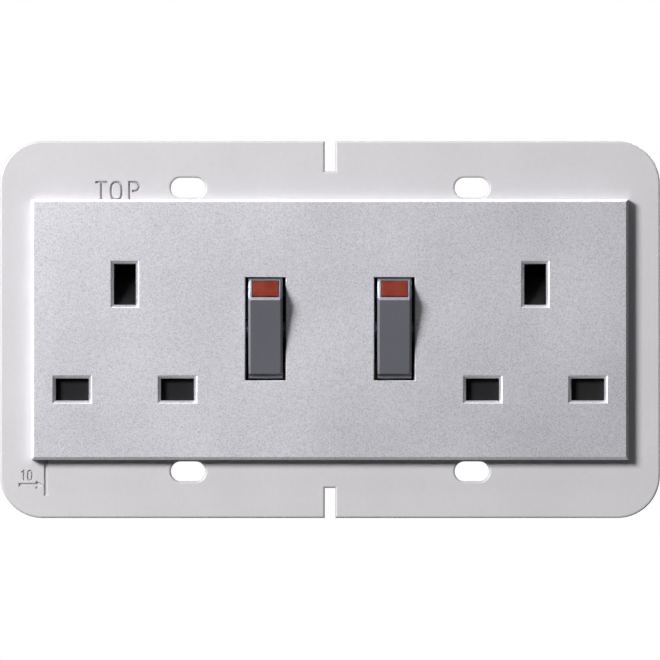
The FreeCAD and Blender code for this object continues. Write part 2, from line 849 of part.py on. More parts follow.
def makeRearHousing():
    halfX = housingWide / 2
    halfZ = housingHigh / 2
    rim = cutWire(halfX, carrierThick, halfZ, housingCorner)
    back = cutWire(halfX - housingDraft, housingDeep, halfZ - housingDraft, housingCorner)
    tub = Part.makeLoft([rim, back], True, True)
    innerRim = cutWire(halfX - housingWall, carrierThick, halfZ - housingWall, housingCorner)
    inset = housingWall + housingDraft
    innerBack = cutWire(halfX - inset, floorFace, halfZ - inset, housingCorner)
    tub = tub.cut(Part.makeLoft([innerRim, innerBack], True, True))
    added = [tub]
    tools = []
    for x, way in terminalPlaces().values():
        wallX = terminalWide / 2 + wallGap + blockWall
        innerZ = terminalZ - terminalHigh / 2 - seatGap
        outerZ = terminalZ + terminalHigh / 2 + seatGap
        ends = sorted((way * (innerZ - blockWall), way * (halfZ - housingWall / 2)))
        added.append(box(x - wallX, x + wallX, terminalFront - strip, floorFace + root, *ends))
        pocket = sorted((way * innerZ, way * outerZ))
        pocketX = terminalWide / 2 + wallGap
        tools.append(box(x - pocketX, x + pocketX, terminalFront, housingDeep + lap, *pocket))
        mouth = sorted((way * terminalZ, way * (halfZ + lap)))
        reach = wireRadius + wireEasing
        tools.append(box(x - reach, x + reach, wireY - reach, wireY + reach, *mouth))
        plane = neutralPlane if way < 0 else earthPlane
        door = sorted((way * (innerZ - blockWall - lap), way * (innerZ + lap)))
        doorX = bandHalf + wallGap
        tools.append(box(x - doorX, x + doorX, plane - wallGap, plane + strip + wallGap, *door))
    for x in (-screwX, screwX):
        for z in (-screwZ, screwZ):
            boss = screwHead + wallGap + bossWall
            added.append(centred(x, boss, carrierThick, floorFace + root, z, boss))
            tools.append(centred(x, screwRadius + seatGap, 0, housingDeep, z, screwRadius + seatGap))
            tools.append(rod(screwHead + wallGap, vector(x, screwSeat, z), vector(x, housingDeep + lap, z)))
    for x, y, z in pillars():
        added.append(centred(x, postHalf, y, floorFace + root, z, postHalf))
    partition = neutralPlane + strip + wallGap
    added.append(box(-bossWall / 2, bossWall / 2, partition, floorFace + root, -partitionFoot, earthZ))
    return cutAll(fused(added), tools)


# posts on the housing's floor that carry the busbars and the switched contacts
def pillars():
    places = []
    for side in sides.values():
        for pin, poleAt in poles(side).items():
            pinX = side * socketX + linePins[pin] * pinSpread
            places.append((poleAt, level(pinX) + strip, padZ))
        places.append((side * (screwX - postHalf), earthPlane + strip, (busFoot + busTop) / 2))
        places.append((side * poleX, neutralPlane + strip, 0))
    places.append((terminalX, livePlane + strip, -tailPost))
    return places


def makeEarthStrap():
    top = earthPlane + strip
    points = [
        (0, strapEnd),
        (strip, strapEnd),
        (strip, strapZ),
        (top, strapZ),
        (top, busTop),
        (earthPlane, busTop),
        (earthPlane, strapZ - strip),
        (0, strapZ - strip),
    ]
    strap = profileAlongX(points, -strapWide / 2, strapWide / 2)
    z = (strapZ + strapEnd) / 2
    return strap.cut(rod(rivetRadius, vector(0, -lap, z), vector(0, strip + lap, z)))


def makeEarthRivet():
    z = (strapZ + strapEnd) / 2
    front = -plateThick
    shank = rod(rivetRadius, vector(0, front - rivetThick, z), vector(0, strip + rivetThick, z))
    frontHead = rod(rivetHead, vector(0, front - rivetThick, z), vector(0, front, z))
    backHead = rod(rivetHead, vector(0, strip, z), vector(0, strip + rivetThick, z))
    return fused([shank, frontHead, backHead])


def makeLamp(side):
    x = side * rockerX
    glass = rod(lampRadius, vector(x - lampLong / 2, lampY, lampZ), vector(x + lampLong / 2, lampY, lampZ))
    reach = lampLong / 2 + leadHalf * 2
    pieces = [glass, centred(x, reach + leadHalf, lampY - leadHalf, lampY + leadHalf, lampZ, leadHalf)]
    for pin, way in (("live", -side), ("neutral", side)):
        leadX = x + way * reach
        pinX = side * socketX + linePins[pin] * pinSpread
        end = resistorFront() if pin == "neutral" else level(pinX)
        pieces.append(centred(leadX, leadHalf, lampY, end, lampZ, leadHalf))
    return fused(pieces)


def resistorFront():
    return fixedFace + padThick


def makeResistor(side):
    x = side * (rockerX + lampLong / 2 + leadHalf * 2)
    pinX = side * socketX + linePins["neutral"] * pinSpread
    front = resistorFront()
    body = rod(resistorRadius, vector(x, front, lampZ), vector(x, front + resistorLong, lampZ))
    lead = centred(x, leadHalf, front + resistorLong / 2, level(pinX), lampZ, leadHalf)
    return fused([body, lead])


os.makedirs("parts", exist_ok=True)
write("support_plate", makeSupportPlate())
write("front_cover", makeFrontCover())
write("front_insulator", makeFrontInsulator())
write("rear_housing", makeRearHousing())
for name, side in sides.items():
    write(name + "_shutter", makeShutter(side))
    write(name + "_shutter_spring", makeShutterSpring(side))
    write(name + "_rocker", makeRocker(side))
    write(name + "_rocker_lens", makeLens(side))
    write(name + "_contact_carrier", makeContactCarrier(side))
    write(name + "_earth_contact", makeEarthContact(side))
    write(name + "_neon_lamp", makeLamp(side))
    write(name + "_resistor", makeResistor(side))
    for pin, poleAt in poles(side).items():
        write(name + "_" + pin + "_contact", makeLineContact(side, pin))
        write(name + "_" + pin + "_plunger", makePlunger(poleAt))
        write(name + "_" + pin + "_plunger_spring", makePlungerSpring(poleAt))
        write(name + "_" + pin + "_bridge", makeBridge(poleAt))
for pin in linePins:
    write(pin + "_busbar", makeBusbar(pin))
write("earth_busbar", makeEarthBusbar())
for name, (x, way) in terminalPlaces().items():
    write(name, makeTerminal(x, way))
write("terminal_screws", makeTerminalScrews())
write("housing_screws", makeHousingScrews())
write("earth_strap", makeEarthStrap())
write("earth_rivet", makeEarthRivet())
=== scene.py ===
import bpy
import bmesh
import json
import math
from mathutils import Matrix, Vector

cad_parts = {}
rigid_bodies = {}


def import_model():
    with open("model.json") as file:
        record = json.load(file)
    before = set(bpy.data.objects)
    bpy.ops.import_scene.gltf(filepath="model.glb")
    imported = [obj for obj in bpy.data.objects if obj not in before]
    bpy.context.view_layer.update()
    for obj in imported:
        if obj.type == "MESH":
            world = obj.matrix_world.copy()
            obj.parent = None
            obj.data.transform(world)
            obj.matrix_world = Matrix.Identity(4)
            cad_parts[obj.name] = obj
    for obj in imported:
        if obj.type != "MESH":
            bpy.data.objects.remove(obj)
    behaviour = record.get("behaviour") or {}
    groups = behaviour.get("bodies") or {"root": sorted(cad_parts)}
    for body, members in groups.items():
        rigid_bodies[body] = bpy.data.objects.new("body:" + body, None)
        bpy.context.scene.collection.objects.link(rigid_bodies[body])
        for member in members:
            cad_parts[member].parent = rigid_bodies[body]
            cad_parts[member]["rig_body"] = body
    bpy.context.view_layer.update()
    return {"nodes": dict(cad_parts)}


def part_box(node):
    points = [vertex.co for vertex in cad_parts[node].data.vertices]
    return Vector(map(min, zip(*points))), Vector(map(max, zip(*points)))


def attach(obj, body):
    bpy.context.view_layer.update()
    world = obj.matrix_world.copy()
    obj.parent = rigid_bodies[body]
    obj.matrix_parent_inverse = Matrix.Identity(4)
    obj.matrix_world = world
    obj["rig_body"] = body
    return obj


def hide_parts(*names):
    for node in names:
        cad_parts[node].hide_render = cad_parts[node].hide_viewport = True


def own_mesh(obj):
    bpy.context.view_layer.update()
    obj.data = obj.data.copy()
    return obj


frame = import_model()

nodes = frame["nodes"]
mm = 0.001
sides = ("left", "right")
print("frame loaded:", len(nodes), "nodes")


# helpers for meshes; widths and distances in metres, angles in degrees

meshRules = {
    "cadDoubles": 0.002 * mm, "doubles": 0.0005 * mm, "sameFace": 0.01 * mm,
    "flatAngle": 0.5, "sharpAngle": 28, "rimSteps": 3, "softSteps": 2, "faceWeight": 100,
}


def linked(name, data):
    thing = bpy.data.objects.new(name, data)
    bpy.context.scene.collection.objects.link(thing)
    return thing


def keepPiece(name, mesh, nodeName, finishName, replaces=True):
    # a finished piece rides with the node's body and, as a rule, takes the node's place
    piece = linked(name, mesh)
    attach(piece, nodes[nodeName]["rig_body"])
    if replaces:
        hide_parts(nodeName)
    mesh.materials.clear()
    mesh.materials.append(materials[finishName])
    return piece


def plainMesh(helper):
    # the evaluated object as a mesh of its own
    graph = bpy.context.evaluated_depsgraph_get()
    return bpy.data.meshes.new_from_object(helper.evaluated_get(graph))


def dropObject(helper):
    data = helper.data
    store = bpy.data.curves if isinstance(data, bpy.types.Curve) else bpy.data.meshes
    bpy.data.objects.remove(helper)
    if data.users == 0:
        store.remove(data)


def bakedOut(helper):
    # applies the helper's modifiers and removes the helper
    bpy.context.view_layer.update()
    result = plainMesh(helper)
    dropObject(helper)
    return result


def meshFrom(work, mesh):
    work.to_mesh(mesh)
    work.free()
    return mesh


def openedMesh(mesh):
    work = bmesh.new()
    work.from_mesh(mesh)
    return work


def mergedCopy(nodeName):
    # the CAD piece's triangles joined and its flat faces made whole
    mesh = nodes[nodeName].data.copy()
    work = openedMesh(mesh)
    bmesh.ops.remove_doubles(work, verts=work.verts, dist=meshRules["cadDoubles"])
    flat = math.radians(meshRules["flatAngle"])
    bmesh.ops.dissolve_limit(work, angle_limit=flat, verts=work.verts, edges=work.edges)
    meshFrom(work, mesh)
    mesh.materials.clear()
    return mesh


def closedUp(mesh):
    work = openedMesh(mesh)
    bmesh.ops.remove_doubles(work, verts=work.verts, dist=meshRules["doubles"])
    bmesh.ops.recalc_face_normals(work, faces=work.faces)
    return meshFrom(work, mesh)


def ringsMesh(name, rings, closed=False):
    # walls between rings of points; both ends are shut unless the last ring meets the first
    work = bmesh.new()
    loops = [[work.verts.new(point) for point in ring] for ring in rings]
    pairs = list(zip(loops, loops[1:]))
    if closed:
        pairs.append((loops[-1], loops[0]))
    for here, there in pairs:
        for k in range(len(here)):
            after = (k + 1) % len(here)
            work.faces.new((here[k], here[after], there[after], there[k]))
    if not closed:
        work.faces.new(loops[0])
        work.faces.new(loops[-1])
    bmesh.ops.recalc_face_normals(work, faces=work.faces)
    return meshFrom(work, bpy.data.meshes.new(name))


def joinedMesh(name, meshes):
    work = bmesh.new()
    for mesh in meshes:
        work.from_mesh(mesh)
    for mesh in meshes:
        bpy.data.meshes.remove(mesh)
    return meshFrom(work, bpy.data.meshes.new(name))


def cutFrom(mesh, cutters):
    helper = linked("cutHelper", mesh)
    tools = [linked("cutter", cutter) for cutter in cutters]
    for tool in tools:
        boolean = helper.modifiers.new("mark", "BOOLEAN")
        boolean.operation = "DIFFERENCE"
        boolean.solver = "EXACT"
        boolean.object = tool
    bpy.context.view_layer.update()
    result = plainMesh(helper)
    for thing in [*tools, helper]:
        dropObject(thing)
    return result


def roundedEdges(mesh, chosen, width):
    # rounds only the sharp edges whose middle the rule picks, so that no small edge holds the width down
    work = openedMesh(mesh)
    least = math.radians(meshRules["sharpAngle"])
    picked = []
    for edge in work.edges:
        sharp = len(edge.link_faces) == 2 and edge.calc_face_angle(0.0) > least
        if sharp and chosen((edge.verts[0].co + edge.verts[1].co) / 2):
            picked.append(edge)
    bmesh.ops.bevel(work, geom=picked, offset=width, offset_type="OFFSET", segments=meshRules["rimSteps"],
                    profile=0.5, affect="EDGES", clamp_overlap=False)
    bmesh.ops.remove_doubles(work, verts=work.verts, dist=meshRules["doubles"])
    return meshFrom(work, mesh)


def softened(name, mesh, width):
    # rounds the sharp edges a little, as a mould or a tumbler leaves them
    helper = linked(name + "Helper", mesh)
    bevel = helper.modifiers.new("edge", "BEVEL")
    bevel.width = width
    bevel.segments = meshRules["softSteps"]
    bevel.limit_method = "ANGLE"
    bevel.angle_limit = math.radians(meshRules["sharpAngle"])
    bevel.use_clamp_overlap = True
    return bakedOut(helper)


def smoothFaces(mesh, smooth=True):
    for face in mesh.polygons:
        face.use_smooth = smooth
    return mesh


def evenNormals(mesh, angle):
    # smooth shading in which the large faces stay flat
    smoothFaces(mesh).set_sharp_from_angle(angle=math.radians(angle))
    helper = linked("evenHelper", mesh)
    weighted = helper.modifiers.new("weighted", "WEIGHTED_NORMAL")
    weighted.mode = "FACE_AREA"
    weighted.weight = meshRules["faceWeight"]
    weighted.keep_sharp = True
    return bakedOut(helper)


def onFace(place, face):
    return abs(place.y - face * mm) < meshRules["sameFace"]


def boxOf(nodeName):
    low, high = (Vector(corner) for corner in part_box(nodeName))
    return low, high, (low + high) / 2


# materials: grain and clouds in object coordinates; bump depths in millimetres

finishes = {
    "silverLacquer": {
        "colour": (0.87, 0.857, 0.925), "spread": 0.3, "grain": 4200, "cloud": 30, "cloudSpread": 0.012,
        "metallic": 0.9, "rough": (0.40, 0.44), "bump": 0.003,
    },
    "zincSheet": {
        "colour": (0.525, 0.511, 0.531), "spread": 0.02, "grain": 900, "cloud": 60, "cloudSpread": 0.012,
        "metallic": 0.18, "rough": (0.48, 0.56), "bump": 0.004,
    },
    "anthracite": {
        "colour": (0.225, 0.228, 0.262), "spread": 0.05, "grain": 3200, "cloud": 45, "cloudSpread": 0.04,
        "metallic": 0.5, "rough": (0.2, 0.25), "bump": 0.0008,
    },
    "blackMoulding": {
        "colour": (0.022, 0.0205, 0.0225), "spread": 0.12, "grain": 2200, "cloud": 80, "cloudSpread": 0.1,
        "metallic": 0.0, "rough": (0.45, 0.62), "bump": 0.01,
    },
    "shutterBlack": {
        "colour": (0.0095, 0.0085, 0.0095), "spread": 0.12, "grain": 2200, "cloud": 80, "cloudSpread": 0.1,
        "metallic": 0.0, "rough": (0.6, 0.75), "bump": 0.01, "gloss": 0.15,
    },
    "greyMoulding": {
        "colour": (0.34, 0.345, 0.35), "spread": 0.05, "grain": 1800, "cloud": 25, "cloudSpread": 0.05,
        "metallic": 0.0, "rough": (0.48, 0.66), "bump": 0.02,
    },
    "paleMoulding": {
        "colour": (0.62, 0.60, 0.55), "spread": 0.04, "grain": 2600, "cloud": 60, "cloudSpread": 0.04,
        "metallic": 0.0, "rough": (0.35, 0.5), "bump": 0.006,
    },
    "brass": {
        "colour": (0.70, 0.50, 0.20), "spread": 0.07, "grain": 1500, "cloud": 120, "cloudSpread": 0.12,
        "metallic": 1.0, "rough": (0.24, 0.4), "bump": 0.005,
    },
    # brass darkened as painted shade, so that the bridges read black where they show through the rocker gaps
    "shadeDarkenedBrass": {
        "colour": (0.22, 0.15, 0.07), "spread": 0.1, "grain": 1500, "cloud": 120, "cloudSpread": 0.14,
        "metallic": 1.0, "rough": (0.4, 0.55), "bump": 0.005,
    },
    "zincScrew": {
        "colour": (0.60, 0.60, 0.58), "spread": 0.06, "grain": 1800, "cloud": 200, "cloudSpread": 0.1,
        "metallic": 1.0, "rough": (0.28, 0.44), "bump": 0.005,
    },
    "springWire": {
        "colour": (0.42, 0.42, 0.43), "spread": 0.06, "grain": 4000, "cloud": 400, "cloudSpread": 0.1,
        "metallic": 1.0, "rough": (0.2, 0.34), "bump": 0.002,
    },
    "resistorCoat": {
        "colour": (0.50, 0.37, 0.22), "spread": 0.06, "grain": 3000, "cloud": 300, "cloudSpread": 0.1,
        "metallic": 0.0, "rough": (0.35, 0.5), "bump": 0.006,
    },
}

# most of a noise lies within this span
noiseSpan = (0.3, 0.7)
grainNoise = {
    "detail": 3.0, "harsh": 0.65, "places": (0.32, 0.5, 0.7), "cloudDetail": 4.0, "cloudHarsh": 0.55,
}


def newMaterial(name):
    material = bpy.data.materials.new(name)
    material.use_nodes = True
    tree = material.node_tree
    return material, tree, tree.nodes["Principled BSDF"], tree.nodes.new("ShaderNodeTexCoord")


def noiseOf(tree, coords, scale, detail=2.0, roughness=0.5):
    noise = tree.nodes.new("ShaderNodeTexNoise")
    for name, value in (("Scale", scale), ("Detail", detail), ("Roughness", roughness)):
        noise.inputs[name].default_value = value
    tree.links.new(coords.outputs["Object"], noise.inputs["Vector"])
    return noise.outputs["Fac"]


def rampOf(tree, value, stops):
    ramp = tree.nodes.new("ShaderNodeValToRGB")
    elements = ramp.color_ramp.elements
    while len(elements) < len(stops):
        elements.new(0.5)
    for element, (place, colour) in zip(elements, stops):
        element.position = place
        element.color = (*colour, 1.0)
    tree.links.new(value, ramp.inputs["Fac"])
    return ramp.outputs["Color"]


def cloudRamp(tree, value, low, high):
    return rampOf(tree, value, [(noiseSpan[0], low), (noiseSpan[1], high)])


def grey(level):
    return level, level, level


def spanOf(tree, value, fromLow, fromHigh, toLow, toHigh):
    span = tree.nodes.new("ShaderNodeMapRange")
    limits = {"From Min": fromLow, "From Max": fromHigh, "To Min": toLow, "To Max": toHigh}
    for name, limit in limits.items():
        span.inputs[name].default_value = limit
    tree.links.new(value, span.inputs["Value"])
    return span.outputs["Result"]


def bumpOf(tree, shader, value, depth, strength=1.0):
    bump = tree.nodes.new("ShaderNodeBump")
    bump.inputs["Strength"].default_value = strength
    bump.inputs["Distance"].default_value = depth * mm
    tree.links.new(value, bump.inputs["Height"])
    tree.links.new(bump.outputs["Normal"], shader.inputs["Normal"])


def mixOf(tree, blend, factor, first, second):
    # the colour sockets of a mix node are its seventh and eighth
    mix = tree.nodes.new("ShaderNodeMix")
    mix.data_type = "RGBA"
    mix.blend_type = blend
    if isinstance(factor, float):
        mix.inputs["Factor"].default_value = factor
    else:
        tree.links.new(factor, mix.inputs["Factor"])
    tree.links.new(first, mix.inputs[6])
    tree.links.new(second, mix.inputs[7])
    return mix.outputs[2]


def grainedMaterial(name):
    finish = finishes[name]
    colour, spread = finish["colour"], finish["spread"]
    material, tree, shader, coords = newMaterial(name)
    grain = noiseOf(tree, coords, finish["grain"], grainNoise["detail"], grainNoise["harsh"])
    low = [part * (1 - spread) for part in colour]
    high = [min(1.0, part * (1 + spread)) for part in colour]
    base = rampOf(tree, grain, list(zip(grainNoise["places"], (low, colour, high))))
    cloud = noiseOf(tree, coords, finish["cloud"], grainNoise["cloudDetail"], grainNoise["cloudHarsh"])
    wash = cloudRamp(tree, cloud, grey(1 - 2 * finish["cloudSpread"]), grey(1.0))
    tree.links.new(mixOf(tree, "MULTIPLY", 1.0, base, wash), shader.inputs["Base Color"])
    tree.links.new(spanOf(tree, cloud, *noiseSpan, *finish["rough"]), shader.inputs["Roughness"])
    shader.inputs["Metallic"].default_value = finish["metallic"]
    shader.inputs["Specular IOR Level"].default_value = finish.get("gloss", 0.5)
    bumpOf(tree, shader, grain, finish["bump"])
    return material


redLens = {
    "deep": (0.165, 0.022, 0.012), "bright": (0.195, 0.028, 0.016), "flutes": 75, "waver": 0.6,
    "cloud": 700, "cloudDetail": 3.0, "dim": 0.85, "rough": (0.1, 0.22),
    "coat": 0.35, "coatRough": 0.08, "bump": 0.01, "bumpStrength": 0.5,
}


def redLensMaterial():
    # clear red plastic with moulded flutes on its inner side that show as faint bands
    material, tree, shader, coords = newMaterial("redLens")
    bands = tree.nodes.new("ShaderNodeTexWave")
    bands.bands_direction = "X"
    bands.inputs["Scale"].default_value = redLens["flutes"]
    bands.inputs["Distortion"].default_value = redLens["waver"]
    tree.links.new(coords.outputs["Object"], bands.inputs["Vector"])
    cloud = noiseOf(tree, coords, redLens["cloud"], redLens["cloudDetail"])
    colour = rampOf(tree, bands.outputs["Fac"], [(0.0, redLens["deep"]), (1.0, redLens["bright"])])
    wash = cloudRamp(tree, cloud, grey(redLens["dim"]), grey(1.0))
    tree.links.new(mixOf(tree, "MULTIPLY", 1.0, colour, wash), shader.inputs["Base Color"])
    tree.links.new(spanOf(tree, cloud, *noiseSpan, *redLens["rough"]), shader.inputs["Roughness"])
    shader.inputs["Coat Weight"].default_value = redLens["coat"]
    shader.inputs["Coat Roughness"].default_value = redLens["coatRough"]
    bumpOf(tree, shader, bands.outputs["Fac"], redLens["bump"], redLens["bumpStrength"])
    return material


lampGlass = {
    "low": (0.86, 0.80, 0.76), "high": (0.96, 0.92, 0.9), "cloud": 500, "rough": (0.03, 0.09),
    "clear": 0.9, "bend": 1.47,
}


def lampGlassMaterial():
    material, tree, shader, coords = newMaterial("lampGlass")
    cloud = noiseOf(tree, coords, lampGlass["cloud"])
    colour = cloudRamp(tree, cloud, lampGlass["low"], lampGlass["high"])
    tree.links.new(colour, shader.inputs["Base Color"])
    tree.links.new(spanOf(tree, cloud, *noiseSpan, *lampGlass["rough"]), shader.inputs["Roughness"])
    shader.inputs["Transmission Weight"].default_value = lampGlass["clear"]
    shader.inputs["IOR"].default_value = lampGlass["bend"]
    return material


materials = {name: grainedMaterial(name) for name in finishes}
materials["redLens"] = redLensMaterial()
materials["lampGlass"] = lampGlassMaterial()
print("materials made:", len(materials))


# support plate: the punched sheet with its engraved marks; places and sizes in millimetres

plate = {
    "edge": 0.4, "face": -1.2, "shownX": 62.0, "shownZ": 26.0, "coarse": (0.7, 0.62), "fine": (0.46, 0.42),
    "markShift": 0.08, "wallLean": 0.6, "leastCorner": 0.35, "leastBend": 0.5,
}

# a groove's section: shares of its half width, and of its depth, with a little of it before the face
grooveSection = ((-1.1, 0.06), (1.1, 0.06), (0.6, -0.23), (0.08, -1.0), (-0.08, -1.0), (-0.6, -0.23))

# places of the strokes on the plate, as (x, z)
word = {
    "top": 31.2, "foot": 27.0, "bar": (-49.7, -47.1), "stem": -48.4, "stemGap": 0.12,
    "round": (-45.2, 29.35, 1.14, 1.85), "post": -42.45, "bowlFrom": -41.4,
    "bowl": (-41.35, 30.27, 0.93, 84, -84, 14), "bowlFoot": 29.34, "bowlEnd": -41.95,
}

gauge = {
    "one": ((-65.25, -30.15), (-64.8, -29.78), (-64.8, -31.75)), "zero": (-63.5, -30.75, 0.45, 0.98, 28),
    "tail": -65.85, "neck": -62.2, "tip": -60.55, "arrowZ": -32.85, "shaft": 0.45, "barb": 1.0,
    "arrowDeep": 0.5,
    "line": ((-60.5, -35.25), (-59.5, -35.25), (-59.5, -27.0), (-60.5, -27.0)),
    "lineDeep": 0.5,
}


def arcPoints(x, z, radius, start, end, steps):
    turns = [math.radians(start + (end - start) * i / steps) for i in range(steps + 1)]
    return [(x + radius * math.cos(turn), z + radius * math.sin(turn)) for turn in turns]


def superEllipse(x, z, halfX, halfZ, steps=40, power=2.6):
    def bent(share):
        return math.copysign(abs(share) ** (2 / power), share)

    turns = [2 * math.pi * i / steps for i in range(steps)]
    return [(x + halfX * bent(math.cos(turn)), z + halfZ * bent(math.sin(turn))) for turn in turns]


def groove(points, closed, wide, deep, face=plate["face"], out=-1):
    # a cutter with leaning walls along a line of points, standing a little out of the face that it cuts
    count = len(points)
    half = wide / 2
    rings = []
    for i, (x, z) in enumerate(points):
        ways = []
        if closed or i > 0:
            before = points[i - 1]
            ways.append(Vector((x - before[0], z - before[1])).normalized())
        if closed or i < count - 1:
            after = points[(i + 1) % count]
            ways.append(Vector((after[0] - x, after[1] - z)).normalized())
        along = sum(ways, Vector((0, 0))).normalized()
        across = Vector((-along.y, along.x)) / max(plate["leastBend"], along.dot(ways[0]))
        ring = []
        for side, height in grooveSection:
            place = (x + across.x * side * half, face + out * height * deep, z + across.y * side * half)
            ring.append([part * mm for part in place])
        rings.append(ring)
    return ringsMesh("groove", rings, closed)


def sunkenShape(outline, deep):
    # a flat-bottomed cutter whose walls lean outwards
    count = len(outline)
    rings = []
    for inset in (-deep, deep):
        ring = []
        for i, (x, z) in enumerate(outline):
            (beforeX, beforeZ), (afterX, afterZ) = outline[i - 1], outline[(i + 1) % count]
            first = Vector((x - beforeX, z - beforeZ)).normalized()
            second = Vector((afterX - x, afterZ - z)).normalized()
            normal = Vector((-first.y, first.x)) + Vector((-second.y, second.x))
            shift = inset * plate["wallLean"] / max(plate["leastCorner"], (normal.length / 2) ** 2) / 2
            place = (x + normal.x * shift, plate["face"] + inset, z + normal.y * shift)
            ring.append([part * mm for part in place])
        rings.append(ring)
    return ringsMesh("sunken", rings)


def wordStrokes():
    top, foot, low = word["top"], word["foot"], word["bowlFoot"]
    left, right = word["bar"]
    post, bowlFrom = word["post"], word["bowlFrom"]
    bowl = [(post, foot), (post, top), (bowlFrom, top), *arcPoints(*word["bowl"]), (bowlFrom, low)]
    return [
        ([(left, top), (right, top)], False),
        ([(word["stem"], top - word["stemGap"]), (word["stem"], foot)], False),
        (superEllipse(*word["round"]), True),
        ([*bowl, (word["bowlEnd"], low)], False),
    ]


def plateMarks():
    # the word TOP, a plain gauge figure 10 with its arrow, and the gauge line
    strokes = [(*stroke, plate["coarse"]) for stroke in wordStrokes()]
    strokes += [(gauge["one"], False, plate["fine"]), (superEllipse(*gauge["zero"]), True, plate["fine"])]
    shift = plate["markShift"]
    cutters = []
    for points, closed, size in strokes:
        cutters.append(groove([(x + shift, z - shift) for x, z in points], closed, *size))
    tail, neck, tip, middle = (gauge[name] for name in ("tail", "neck", "tip", "arrowZ"))
    shaft, barb = gauge["shaft"], gauge["barb"]
    arrow = [
        (tail, middle - shaft), (neck, middle - shaft), (neck, middle - barb), (tip, middle),
        (neck, middle + barb), (neck, middle + shaft), (tail, middle + shaft),
    ]
    cutters.append(sunkenShape(arrow, gauge["arrowDeep"]))
    cutters.append(sunkenShape(gauge["line"], gauge["lineDeep"]))
    return cutters


def plateRim(place):
    # the front edges of the outline, the notches and the slots
    shown = abs(place.x) > plate["shownX"] * mm or abs(place.z) > plate["shownZ"] * mm
    return shown and onFace(place, plate["face"])


plateMesh = roundedEdges(mergedCopy("support_plate"), plateRim, plate["edge"] * mm)
plateMesh = smoothFaces(closedUp(cutFrom(plateMesh, plateMarks())), False)
keepPiece("engraved_plate", plateMesh, "support_plate", "zincSheet")
print("support plate engraved:", len(plateMesh.polygons), "faces")


# mouldings that are the CAD form with softened edges: name, edge in millimetres, finish and slot

mouldings = {
    "front_cover": ("cover_moulding", 0.05, "silverLacquer", "cover_silver"),
    "front_insulator": ("insulator_moulding", 0.06, "blackMoulding", "insulator_black"),
    "rear_housing": ("housing_moulding", 0.15, "greyMoulding", "housing_grey"),
    "left_rocker": ("left_rocker_cap", 0.09, "anthracite", "rocker_dark"),
    "right_rocker": ("right_rocker_cap", 0.09, "anthracite", "rocker_dark"),
    "left_shutter": ("left_shutter_slide", 0.08, "shutterBlack", "insulator_black"),
    "right_shutter": ("right_shutter_slide", 0.08, "shutterBlack", "insulator_black"),
    "live_terminal": ("live_terminal_block", 0.16, "brass", "brass"),
    "neutral_terminal": ("neutral_terminal_block", 0.16, "brass", "brass"),
    "left_earth_terminal": ("left_earth_block", 0.16, "brass", "brass"),
    "right_earth_terminal": ("right_earth_block", 0.16, "brass", "brass"),
    "earth_rivet": ("earth_rivet_domed", 0.2, "zincScrew", "screw_steel"),
}

# edges of a moulding that turn by more degrees stay sharp
mouldingAngle = 34

# how far the cover's openings are rounded: the rockers' inside the field, the pins' beyond it
coverOpenings = {
    "rockerEdge": 0.14, "pinEdge": 0.17, "face": -4.2, "fieldX": 18.6, "fieldZ": 12.0,
    "pinsX": 61.0, "pinsZ": 24.0,
}


def rockerRim(place):
    inWidth = abs(place.x) < coverOpenings["fieldX"] * mm
    inHeight = abs(place.z) < coverOpenings["fieldZ"] * mm
    return inWidth and inHeight and onFace(place, coverOpenings["face"])


def pinRim(place):
    inWidth = coverOpenings["fieldX"] * mm < abs(place.x) < coverOpenings["pinsX"] * mm
    inHeight = abs(place.z) < coverOpenings["pinsZ"] * mm
    return inWidth and inHeight and onFace(place, coverOpenings["face"])


# signs beside the terminals and rings of ejector pins, cut into the housing's back
backMarks = {
    "stroke": (0.5, 0.35), "away": 7.4, "ring": (0.16, 0.14), "ringRadius": 1.9, "roundRing": (32, 2.0),
    "rings": ((30.0, 9.0), (50.0, 9.0)), "ways": ((1, 1), (1, -1), (-1, 1), (-1, -1)),
}
earthSign = (
    ((0, 1.6), (0, 0.1)), ((-1.4, 0), (1.4, 0)), ((-0.9, -0.75), (0.9, -0.75)), ((-0.4, -1.5), (0.4, -1.5)),
)
backSigns = {
    "live_terminal": (((-0.8, 1.5), (-0.8, -1.5)), ((-0.8, -1.5), (0.9, -1.5))),
    "neutral_terminal": (
        ((-0.95, -1.5), (-0.95, 1.5)), ((-0.95, 1.5), (0.95, -1.5)), ((0.95, -1.5), (0.95, 1.5)),
    ),
    "left_earth_terminal": earthSign,
    "right_earth_terminal": earthSign,
}


def housingMarks():
    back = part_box("rear_housing")[1][1] / mm
    cutters = []
    for terminal, sign in backSigns.items():
        low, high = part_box(terminal)
        x, z = (low[0] + high[0]) / 2 / mm, (low[2] + high[2]) / 2 / mm
        z -= math.copysign(backMarks["away"], z)
        for stroke in sign:
            # read from behind, so that the sign's right is the frame's left
            points = [(x - along, z + up) for along, up in stroke]
            cutters.append(groove(points, False, *backMarks["stroke"], back, 1))
    radius = backMarks["ringRadius"]
    for x, z in backMarks["rings"]:
        for way, rise in backMarks["ways"]:
            ring = superEllipse(way * x, rise * z, radius, radius, *backMarks["roundRing"])
            cutters.append(groove(ring, True, *backMarks["ring"], back, 1))
    return cutters


for nodeName, (pieceName, edge, finishName, slotName) in mouldings.items():
    mesh = mergedCopy(nodeName)
    if nodeName == "front_cover":
        mesh = roundedEdges(mesh, rockerRim, coverOpenings["rockerEdge"] * mm)
        mesh = roundedEdges(mesh, pinRim, coverOpenings["pinEdge"] * mm)
    mesh = softened(pieceName, mesh, edge * mm)
    if nodeName == "rear_housing":
        mesh = closedUp(cutFrom(mesh, housingMarks()))
    mesh = evenNormals(mesh, mouldingAngle)
    keepPiece(pieceName, mesh, nodeName, finishName)
    print("moulding:", pieceName, len(mesh.polygons), "faces")


# springs: round wire coils with closed ends; sizes in millimetres, the tilt in degrees

